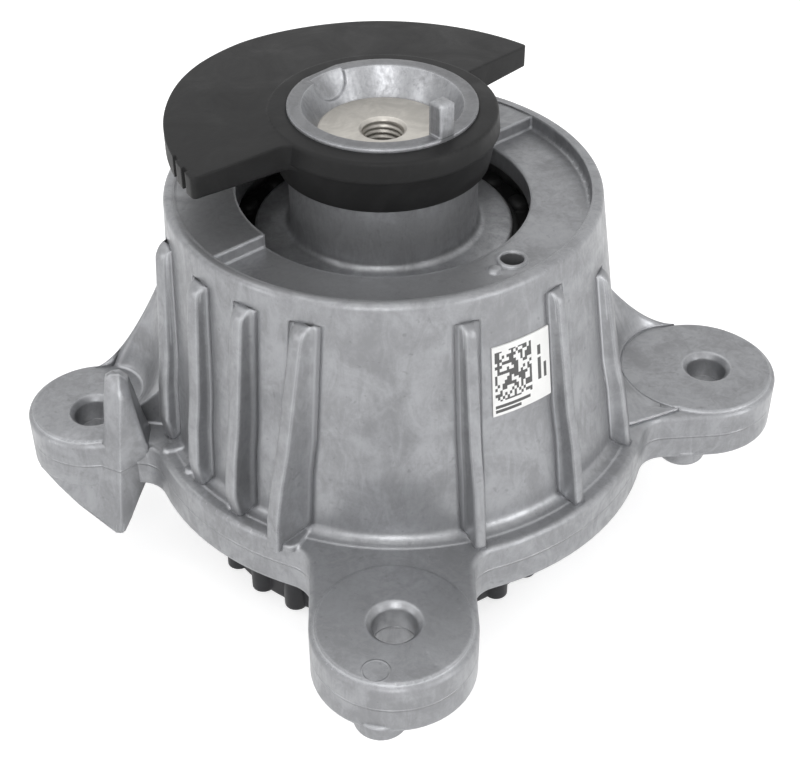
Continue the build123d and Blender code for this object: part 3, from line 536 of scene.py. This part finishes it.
def grid_quads(rows, cols, closed_u=False, closed_v=False):
    """Corner numbers of a grid's quads, row by row."""
    r = np.arange(rows if closed_u else rows - 1)
    c = np.arange(cols if closed_v else cols - 1)
    i, j = np.meshgrid(r, c, indexing="ij")
    i2, j2 = (i + 1) % rows, (j + 1) % cols
    return np.stack([i * cols + j, i2 * cols + j, i2 * cols + j2, i * cols + j2], -1).reshape(-1, 4)


def grid_mesh(name, points, closed_u=False, closed_v=False, uv=None):
    """Piece with the surface of a (rows, columns, 3) array of points, its quads joined in grid order."""
    quads = grid_quads(*points.shape[:2], closed_u, closed_v)
    mesh = bpy.data.meshes.new(name)
    mesh.from_pydata(points.reshape(-1, 3), [], quads)
    mesh.polygons.foreach_set("use_smooth", np.ones(len(quads), bool))
    if uv is not None:
        layer = mesh.uv_layers.new(name="film")
        loops = np.zeros(len(mesh.loops), np.int32)
        mesh.loops.foreach_get("vertex_index", loops)
        layer.data.foreach_set("uv", uv.reshape(-1, 2)[loops].astype(np.float32).ravel())
    mesh.update()
    return add_object(name, mesh)


def round_axis(r, turn, height):
    """Points at distances from the axis, azimuths and heights."""
    return np.stack([r * np.cos(turn), r * np.sin(turn), height], -1)


def bell_cone(height):
    """Radius of the wall's circle at a height, and how far the circle has drifted towards +X there."""
    share = (BELL["rim_height"] - height) / (BELL["rim_height"] - BELL["flange_height"])
    return BELL["rim_radius"] + share * (BELL["foot_radius"] - BELL["rim_radius"]), share * BELL["foot_shift"]


def bell_radius(height, azimuth):
    """Distance from the axis to the bell's outer wall.

    The wall is a cone whose centre drifts towards +X on its way down: with s the share of the way from rim to
    flange, R = rim + s * (foot - rim), d = s * shift, and the distance is d cos a + sqrt(R^2 - (d sin a)^2).
    """
    radius, drift = bell_cone(height)
    return drift * np.cos(azimuth) + np.sqrt(radius**2 - (drift * np.sin(azimuth)) ** 2)


def wall_reach(height, direction, offset):
    """Distance along a direction, at an offset across it, to the bell's wall: the drifted circle's chord."""
    radius, drift = bell_cone(height)
    across = offset + drift * math.sin(direction)
    return drift * math.cos(direction) + np.sqrt(radius**2 - across**2)


def wall_band(height):
    """Stand of the wall's lower band: nothing above its upper edge, growing evenly to its full stand below."""
    share = np.clip((WALL_BAND["high"] - height) / (WALL_BAND["high"] - WALL_BAND["low"]), 0.0, 1.0)
    return WALL_BAND["stand"] * share


def bell_wall():
    """Grid of the bell's outer wall: wall + band + a quarter-round fillet f - sqrt(f^2 - (f - h)^2) at the foot.

    Its top rows lie a hair inside, so that the rim's own surface covers them.
    """
    f = WALL_BAND["foot"]
    low = BELL["flange_height"]
    foot = low - WALL_GRID["round_below"] + f * (1 - np.cos(np.linspace(0, math.pi / 2, 13)))
    z = np.concatenate([[low - WALL_GRID["below"]], foot, np.linspace(foot[-1], WALL_GRID["top"], 40)[1:]])
    a = np.linspace(-math.pi, math.pi, 361)[:-1]
    height, turn = np.meshgrid(z, a, indexing="ij")
    rise = np.clip(f - (height - low), 0.0, f)
    fillet = f - np.sqrt(f**2 - rise**2)
    r = bell_radius(height, turn) + wall_band(height) + fillet
    r = np.where(height > WALL_GRID["inset_above"], r - WALL_GRID["inset"], r)
    return round_axis(r, turn, height).reshape(-1, 3), grid_quads(len(z), len(a), False, True)[:, ::-1]


def wall_rib(direction, offset, width, low, high, foot_reach, top_reach, foot_share):
    """Rib as a U-shaped section carried up the wall.

    The reach runs evenly from foot to top, (1 - s) foot + s top. Over a short run it shrinks to its share at the
    foot, and at the top it ends in a quarter ellipse, sqrt(1 - c^2). Each side leaves the wall with a small hollow
    and turns into the outer face with a rounded edge; both flatten with the reach.
    """
    angle = math.radians(direction)
    offset, low, high, half = offset * MM, low * MM, high * MM, width * MM / 2
    cap_low = high - RIB["cap"]
    z = np.concatenate([
        np.linspace(low - RIB["below"], cap_low, 34),
        high - RIB["cap"] * (1 - np.sin(np.linspace(0.2, math.pi / 2, 9))),
    ])[:, None]
    share = np.clip((z - low) / (high - low), 0.0, 1.0)
    reach = (foot_reach + (top_reach - foot_reach) * share) * MM
    reach = reach * (foot_share + (1 - foot_share) * np.clip((z - low) / RIB["foot_run"], 0.0, 1.0))
    cap = np.clip((z - cap_low) / RIB["cap"], 0.0, 1.0)
    reach = reach * np.sqrt(1.0 - cap**2) + RIB["least"]
    shrink = np.minimum(1.0, reach / RIB["full"])
    root, tip = half + RIB_ROOT[:, 0], half - RIB_TIP[:, 0]
    rise = np.where(RIB_ROOT[:, 1] > 0, RIB_ROOT[:, 1] * shrink, RIB_ROOT[:, 1])
    right = wall_reach(z, angle, offset + root) + wall_band(z) + rise
    left = wall_reach(z, angle, offset - root) + wall_band(z) + rise
    face = wall_reach(z, angle, offset) + wall_band(z) + reach + RIB_TIP[:, 1] * shrink
    along = np.concatenate([right, face, face[:, ::-1], left[:, ::-1]], 1)
    across = offset + np.concatenate([root, tip, -tip[::-1], -root[::-1]])
    x = along * math.cos(angle) - across * math.sin(angle)
    y = along * math.sin(angle) + across * math.cos(angle)
    points = np.stack([x, y, np.broadcast_to(z, x.shape)], -1)
    return points.reshape(-1, 3), grid_quads(*points.shape[:2], False, True)[:, ::-1]


def web_fairing(azimuths, heights, centre, reach, angles, power):
    """Web from the wall down to a circle round a lug's hole: z = low + (high - low) (1 - u)^p along each line.

    The lines run straight in plan from the wall to the circle. Their upper ends stay level at first and then ease
    down by e^2 (3 - 2 e). Towards both sides the landing draws in and sinks a little, by the sine of the share
    raised to the fullness. A lip under the landing and a skirt at either side close the edges.
    """
    j = np.linspace(0.0, 1.0, 41)
    u = np.linspace(0.0, 1.0, 31)
    centre = np.array(centre) * MM
    turn = np.radians(azimuths[0] + (azimuths[1] - azimuths[0]) * j)
    ease = np.clip((j - FAIRING["level"]) / (1 - FAIRING["level"]), 0.0, 1.0)
    ease = ease * ease * (3 - 2 * ease)
    high = (heights[0] + (heights[1] - heights[0]) * ease) * MM
    full = np.sin(math.pi * j) ** FAIRING["fullness"]
    low = FAIRING["side_height"] + FAIRING["middle_rise"] * full
    reach = (reach * MM - FAIRING["draw_in"] * (1 - full))[:, None]
    start = bell_radius(high, turn) - FAIRING["sunk"]
    around = np.radians(angles[0] + (angles[1] - angles[0]) * j)
    first = np.stack([start * np.cos(turn), start * np.sin(turn)], -1)
    last = centre + reach * np.stack([np.cos(around), np.sin(around)], -1)
    flat = first[None] + u[:, None, None] * (last - first)[None]
    z = low[None] + (high - low)[None] * (1 - u[:, None]) ** power
    top = np.concatenate([flat, z[..., None]], -1)
    lip = top[-1].copy()
    lip[:, :2] -= (last - centre) * FAIRING["lip_share"]
    lip[:, 2] -= FAIRING["lip_drop"]
    top = np.concatenate([top, lip[None]])
    before, after = top[:, :1].copy(), top[:, -1:].copy()
    before[..., 2] = after[..., 2] = FAIRING["skirt"]
    top = np.concatenate([before, top, after], 1)
    return top.reshape(-1, 3), grid_quads(*top.shape[:2])


def beyond_wall(x, y, z, margin):
    """Which points lie outside the wall's formula by more than a margin."""
    return np.hypot(x, y) > bell_radius(z, np.arctan2(y, x)) + margin


def runs_of(edges):
    """Joined edges as runs of vertices in order, the open runs first and then the closed ones."""
    left, joined = set(edges), {}
    for edge in edges:
        for vertex in edge.verts:
            joined.setdefault(vertex, []).append(edge)
    starts = sorted(joined, key=lambda vertex: (len(joined[vertex]), vertex.index))
    for start in starts:
        run, at = [start], start
        while True:
            onward = [edge for edge in joined[at] if edge in left]
            if not onward:
                break
            left.discard(onward[0])
            at = onward[0].other_vert(at)
            if at is start:
                break
            run.append(at)
        if len(run) > 2:
            yield run


def cap_stumps(work):
    """Closes what the lower cut left open outside the wall with flat faces; a rib's stump is laid flush with them."""
    x, y, z = np.array([vertex.co for vertex in work.verts]).T
    level = (np.abs(z - CUT_HEIGHTS[0]) < CUT["level"]) & beyond_wall(x, y, z, CUT["rim_margin"])
    work.verts.index_update()
    rim = [edge for edge in work.edges if edge.is_boundary and all(level[vertex.index] for vertex in edge.verts)]
    for run in runs_of(rim):
        places = np.array([vertex.co for vertex in run])
        cap = work.faces.new(run)
        cap.normal_update()
        if cap.normal.z < 0:
            cap.normal_flip()
        if np.ptp(places, axis=0).max() < CUT["stump_span"]:
            for vertex in run:
                vertex.co.z = FLANGE_TOP


def bell_rest():
    """The cast bell without the outside of its wall, ribs and webs, which have surfaces of their own here.

    A merged copy is cut level at two heights, and the faces between them outside the wall's formula are left out.
    """
    work = bmesh.new()
    work.from_mesh(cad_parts["housing"].data)
    bmesh.ops.remove_doubles(work, verts=work.verts, dist=CUT["merge"])
    for height in CUT_HEIGHTS:
        geometry = work.verts[:] + work.edges[:] + work.faces[:]
        bmesh.ops.bisect_plane(work, geom=geometry, plane_co=(0, 0, height), plane_no=(0, 0, 1), dist=CUT["plane"])
    x, y, z = np.array([face.calc_center_median() for face in work.faces]).T
    between = (z > CUT_HEIGHTS[0]) & (z < CUT_HEIGHTS[1])
    outside = between & beyond_wall(x, y, z, CUT["face_margin"])
    work.faces.ensure_lookup_table()
    bmesh.ops.delete(work, geom=[work.faces[i] for i in np.nonzero(outside)[0]], context="FACES")
    cap_stumps(work)
    bmesh.ops.triangulate(work, faces=work.faces)
    mesh = bpy.data.meshes.new("bell_copy")
    work.to_mesh(mesh)
    work.free()
    points = np.zeros(len(mesh.vertices) * 3)
    mesh.vertices.foreach_get("co", points)
    corners = np.zeros(len(mesh.loops), np.int64)
    mesh.loops.foreach_get("vertex_index", corners)
    bpy.data.meshes.remove(mesh)
    return points.reshape(-1, 3), corners.reshape(-1, 3)


class MOUNT_OT_bell(bpy.types.Operator):
    """Makes the cast bell: the model's own lugs, flange and mouth with a finer wall, ribs and webs"""

    bl_idname = "mount.bell"
    bl_label = "Cast bell"

    def execute(self, context):
        parts = [bell_rest(), bell_wall()]
        parts += [wall_rib(*rib) for rib in RIBS]
        parts += [web_fairing(*values) for values in FAIRINGS.values()]
        faces, start = [], 0
        for points, corners in parts:
            faces += (corners + start).tolist()
            start += len(points)
        mesh = bpy.data.meshes.new("bell_skin")
        mesh.from_pydata(np.concatenate([points for points, corners in parts]), [], faces)
        mesh.update()
        piece = add_object("bell_skin", mesh)
        mesh.materials.append(cast_metal("bell_cast", context.scene.mount_finish))
        soften(piece)
        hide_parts("housing")
        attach(piece, HOUSING)
        return {"FINISHED"}


class MOUNT_OT_apron(bpy.types.Operator):
    """Makes the wedge apron and the fin in front of the left lug"""

    bl_idname = "mount.apron"
    bl_label = "Apron and fin"

    def execute(self, context):
        """Each row is a closed section: its front corners, then the same ones moved back by the row's depth."""
        rows = np.array([row[:4] for row in APRON_ROWS])
        depth = np.array([row[4] for row in APRON_ROWS])
        back = rows[:, ::-1].copy()
        back[..., 1] += depth[:, None]
        back[:FIN_ROWS, :, 1] = np.maximum(back[:FIN_ROWS, :, 1], FIN_BACK)
        points = np.concatenate([rows, back], 1) * MM
        piece = grid_mesh("apron_skin", points, closed_v=True)
        work = bmesh.new()
        work.from_mesh(piece.data)
        work.verts.ensure_lookup_table()
        around = points.shape[1]
        for cap in (work.verts[:around], work.verts[-around:]):
            work.faces.new(cap)
        bmesh.ops.recalc_face_normals(work, faces=work.faces)
        work.to_mesh(piece.data)
        work.free()
        piece.data.materials.append(cast_metal("apron_cast", context.scene.mount_finish))
        edges = piece.modifiers.new("round_edges", "BEVEL")
        edges.width = APRON_EDGE
        edges.segments = 3
        edges.limit_method = "ANGLE"
        edges.angle_limit = EDGE_ANGLE
        soften(piece)
        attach(piece, HOUSING)
        return {"FINISHED"}


class MOUNT_OT_label_print(bpy.types.Operator):
    """Lays the printed film over the label on the bell"""

    bl_idname = "mount.label_print"
    bl_label = "Label print"

    def execute(self, context):
        """Grid of azimuth and height on the bell's wall; its UV runs from 0 to 1 across and up the film."""
        turn = np.radians(np.linspace(*LABEL["azimuths"], 41))
        height = np.linspace(*LABEL["heights"], 33)
        a, h = np.meshgrid(turn, height, indexing="ij")
        points = round_axis(bell_radius(h, a) + LABEL["stand"], a, h)
        u, v = np.meshgrid(np.linspace(0, 1, 41), np.linspace(0, 1, 33), indexing="ij")
        piece = grid_mesh("label_print", points, uv=np.stack([u, v], -1))
        piece.data.materials.append(label_film(context.scene.mount_label))
        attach(piece, HOUSING)
        return {"FINISHED"}


class MOUNT_OT_bore_thread(bpy.types.Operator):
    """Cuts the look of a screw thread into the insert's bore"""

    bl_idname = "mount.bore_thread"
    bl_label = "Bore thread"

    def execute(self, context):
        """Helical ridges: r = R - depth * tri(z / pitch - a / turn), where tri rises and falls once per pitch.

        The triangle is flattened at crest and root, and the depth fades to nothing over one pitch at either end.
        """
        a = np.linspace(0, 2 * math.pi, 73)[:-1]
        z = np.linspace(THREAD["low"], THREAD["high"], 196)
        turn, height = np.meshgrid(a, z, indexing="ij")
        phase = (height / THREAD["pitch"] - turn / (2 * math.pi)) % 1.0
        ridge = np.clip(1.6 * (1.0 - np.abs(2.0 * phase - 1.0)) - 0.3, 0.0, 1.0)
        fade = np.clip(np.minimum(height - THREAD["low"], THREAD["high"] - height) / THREAD["pitch"], 0.0, 1.0)
        r = THREAD["radius"] - THREAD["depth"] * ridge * fade
        piece = grid_mesh("bore_thread", round_axis(r, turn, height)[::-1], closed_u=True)
        finish = context.scene.mount_finish
        piece.data.materials.append(turned_metal("bore_metal", tint(finish.insert_colour, 0.8), finish))
        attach(piece, CORE)
        return {"FINISHED"}


class MOUNT_OT_spring_skin(bpy.types.Operator):
    """Makes the rubber spring, which stretches between the core and the bell"""

    bl_idname = "mount.spring_skin"
    bl_label = "Rubber spring"

    def execute(self, context):
        """Closed outline turned round the axis: two bowed flanks join the bond on the core and the outer wall.

        A flank is (1 - t) A + t B, lowered or raised by 4 t (1 - t) times the sag.
        """
        t = np.linspace(0.0, 1.0, 25)[:-1, None]
        flanks = (("inner_low", "inner_high", 0.0), ("inner_high", "outer_high", -SPRING["sag"]),
                  ("outer_high", "outer_low", 0.0), ("outer_low", "inner_low", SPRING["rise"]))
        outline = np.concatenate([
            (1 - t) * np.array(SPRING[a]) + t * np.array(SPRING[b]) + 4.0 * t * (1.0 - t) * np.array([0.0, bow])
            for a, b, bow in flanks
        ])
        turn = np.linspace(0, 2 * math.pi, 97)[:-1]
        turn, r = np.meshgrid(turn, outline[:, 0], indexing="ij")
        points = round_axis(r, turn, np.broadcast_to(outline[:, 1], r.shape))
        piece = grid_mesh("spring_skin", points, closed_u=True, closed_v=True)
        finish = context.scene.mount_finish
        piece.data.materials.append(moulded_black("spring_rubber", tuple(finish.rubber_colour), finish))
        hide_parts("main_spring")
        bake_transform(piece)
        return {"FINISHED"}


def smooth_group():
    """Geometry nodes that merge a node's loose triangles and shade them smooth up to an edge angle."""
    name = "soft_shading"
    if name in bpy.data.node_groups:
        return bpy.data.node_groups[name]
    group = bpy.data.node_groups.new(name, "GeometryNodeTree")
    for way in ("INPUT", "OUTPUT"):
        group.interface.new_socket("Geometry", in_out=way, socket_type="NodeSocketGeometry")
    tree = Tree(group)
    merge = tree.add("GeometryNodeMergeByDistance", tree.add("NodeGroupInput").outputs[0])
    tree.fill(merge, Distance=MERGE_DISTANCE)
    faces = tree.add("GeometryNodeSetShadeSmooth", merge.outputs[0])
    angle = tree.add("GeometryNodeInputMeshEdgeAngle").outputs["Unsigned Angle"]
    flat = tree.add("FunctionNodeCompare", angle, EDGE_ANGLE, operation="LESS_THAN")
    edges = tree.add("GeometryNodeSetShadeSmooth", faces.outputs[0], domain="EDGE")
    tree.add("NodeGroupOutput", tree.fill(edges, Shade_Smooth=flat.outputs[0])[0])
    return group


def soften(thing):
    """Shades an object smooth across its shallow edges."""
    thing.modifiers.new("soft_shading", "NODES").node_group = smooth_group()


class MOUNT_OT_dress_casting(bpy.types.Operator):
    """Finishes the core and its insert as cast and turned metal"""

    bl_idname = "mount.dress_casting"
    bl_label = "Castings"

    def execute(self, context):
        finish = context.scene.mount_finish
        paint("core", cast_metal("core_cast_metal", finish, 1.12, False, 0.009, MACHINED_HEIGHT))
        paint("thread_insert", turned_metal("insert_metal", finish.insert_colour, finish))
        return {"FINISHED"}


class MOUNT_OT_dress_rubber(bpy.types.Operator):
    """Finishes the collar, the buffer, the diaphragm and the cover as moulded parts"""

    bl_idname = "mount.dress_rubber"
    bl_label = "Rubber and cover"

    def execute(self, context):
        finish = context.scene.mount_finish
        paint("stop_collar", moulded_black("collar_rubber", finish.rubber_colour, finish))
        paint("rebound_buffer", moulded_black("buffer_rubber", finish.rubber_colour, finish, dust=0.5))
        for node in ("diaphragm", "decoupler"):
            paint(node, moulded_black(f"{node}_rubber", finish.rubber_colour, finish, dust=0.2))
        paint("bottom_cover", moulded_black("cover_black", finish.cover_colour, finish, rough=(0.34, 0.5), dust=0.2))
        return {"FINISHED"}


class MOUNT_OT_dress_inside(bpy.types.Operator):
    """Finishes the rings, plates and plug inside the bell, and the label's own film"""

    bl_idname = "mount.dress_inside"
    bl_label = "Rings, plates and label"

    def execute(self, context):
        finish = context.scene.mount_finish
        label = context.scene.mount_label
        for node in ("spring_ring", "retaining_ring", "fill_plug"):
            paint(node, turned_metal(f"{node}_steel", finish.steel_colour, finish, rough=0.42))
        for node in ("upper_channel_plate", "lower_channel_plate"):
            paint(node, cast_metal(f"{node}_cast", finish, parting=False))
        material, tree, shader, place = new_material("label_edge")
        cloud = tree.noise(place, 220.0, 4.0)
        tree.put(shader.inputs["Base Color"], tree.mix(cloud, tint(label.paper, 0.9), tuple(label.paper)))
        tree.put(shader.inputs["Roughness"], tree.ramp(cloud, 0.3, 0.7, 0.4, 0.55, False))
        paint("label", material)
        return {"FINISHED"}


def lamp(name, place, target, size, power):
    """Broad area lamp at a place, turned to its target."""
    light = bpy.data.lights.new(name, "AREA")
    light.shape = "DISK"
    light.size = size
    light.energy = power
    aim = (Vector(target) - Vector(place)).to_track_quat("-Z", "Y")
    add_object(name, light).matrix_world = Matrix.Translation(place) @ aim.to_matrix().to_4x4()


def background_rays(tree):
    """1 for camera, glossy and transmission rays, 0 for the rays that light the object."""
    path = tree.add("ShaderNodeLightPath").outputs
    seen = tree.math("MAXIMUM", path["Is Camera Ray"], path["Is Glossy Ray"])
    return tree.math("MAXIMUM", seen, path["Is Transmission Ray"])


def floor_paper(stage):
    """Matt paper, lifted towards white where the camera or a reflection sees it."""
    material = bpy.data.materials.new("floor_paper")
    tree = clear_tree(material)
    place = tree.add("ShaderNodeTexCoord").outputs["Object"]
    tone = tree.mix(tree.noise(place, 3.0, 3.0), tint(stage.floor_colour, 0.97), tuple(stage.floor_colour))
    matt = tree.add("ShaderNodeBsdfDiffuse", tone)
    seen = tree.math("MULTIPLY", background_rays(tree), FLOOR_LIFT)
    lift = tree.add("ShaderNodeEmission", (1.0, 1.0, 1.0, 1.0), seen)
    both = tree.add("ShaderNodeAddShader", matt.outputs[0], lift.outputs[0])
    tree.add("ShaderNodeOutputMaterial", both.outputs[0])
    return material


def studio_world(stage):
    """Even light all round, and plain white where the camera or a reflection sees it."""
    world = bpy.data.worlds.new("studio")
    tree = clear_tree(world)
    strength = tree.ramp(background_rays(tree), 0.0, 1.0, stage.world_strength, 1.0, False)
    sky = tree.add("ShaderNodeBackground", (1.0, 1.0, 1.0, 1.0), strength)
    tree.add("ShaderNodeOutputWorld", sky.outputs[0])
    return world


def place_camera(stage):
    """Camera at its place, turned by yaw and pitch and then rolled about its own line of sight."""
    pitch, yaw, roll = stage.pitch, stage.yaw, stage.roll
    forward = Vector((math.sin(yaw) * math.cos(pitch), math.cos(yaw) * math.cos(pitch), -math.sin(pitch)))
    level = Vector((math.cos(yaw), -math.sin(yaw), 0.0))
    upright = level.cross(forward)
    right = math.cos(roll) * level + math.sin(roll) * upright
    up = -math.sin(roll) * level + math.cos(roll) * upright
    camera = bpy.data.cameras.new("camera")
    camera.lens = stage.lens
    camera.sensor_width = 36.0
    camera.sensor_fit = "HORIZONTAL"
    camera.clip_start = 0.01
    holder = add_object("camera", camera)
    holder.matrix_world = Matrix.Translation(stage.camera_place) @ Matrix((right, up, -forward)).transposed().to_4x4()
    return holder


class MOUNT_OT_stage(bpy.types.Operator):
    """Sets the floor, the soft lamps, the world and the camera"""

    bl_idname = "mount.stage"
    bl_label = "Stage"

    def execute(self, context):
        stage = context.scene.mount_stage
        scene = context.scene
        side = np.linspace(-FLOOR_SIDE, FLOOR_SIDE, 3)
        x, y = np.meshgrid(side, side, indexing="ij")
        floor = grid_mesh("floor", np.stack([x, y, np.zeros_like(x)], -1))
        floor.data.materials.append(floor_paper(stage))
        scene.world = studio_world(stage)
        for name, place, aim, size, setting, share in LAMPS:
            lamp(name, place, (0.0, 0.0, aim), size, share * getattr(stage, setting))
        scene.camera = place_camera(stage)
        scene.view_settings.view_transform = "Standard"
        return {"FINISHED"}


class MOUNT_PT_panel(bpy.types.Panel):
    """Lists the mount's finishes and the operators that make them"""

    bl_idname = "MOUNT_PT_panel"
    bl_label = "Engine mount"
    bl_space_type = "VIEW_3D"
    bl_region_type = "UI"
    bl_category = "Mount"

    def draw(self, context):
        for name in GROUPS:
            box = self.layout.box()
            settings = getattr(context.scene, name)
            for prop in settings.bl_rna.properties:
                if prop.identifier not in ("rna_type", "name"):
                    box.prop(settings, prop.identifier)
        for operator in OPERATORS:
            self.layout.operator(operator.bl_idname)


GROUPS = {"mount_finish": MountFinish, "mount_label": MountLabel, "mount_stage": MountStage}
OPERATORS = (
    MOUNT_OT_stage, MOUNT_OT_bell, MOUNT_OT_apron, MOUNT_OT_dress_casting, MOUNT_OT_dress_rubber, MOUNT_OT_dress_inside,
    MOUNT_OT_spring_skin, MOUNT_OT_bore_thread, MOUNT_OT_label_print,
)
CLASSES = (*GROUPS.values(), *OPERATORS, MOUNT_PT_panel)


def register():
    for cls in CLASSES:
        bpy.utils.register_class(cls)
    for name, cls in GROUPS.items():
        setattr(bpy.types.Scene, name, bpy.props.PointerProperty(type=cls))


def unregister():
    for name in GROUPS:
        delattr(bpy.types.Scene, name)
    for cls in reversed(CLASSES):
        bpy.utils.unregister_class(cls)


def main():
    register()
    for operator in OPERATORS:
        group, name = operator.bl_idname.split(".")
        getattr(getattr(bpy.ops, group), name)()


if __name__ == "__main__":
    main()
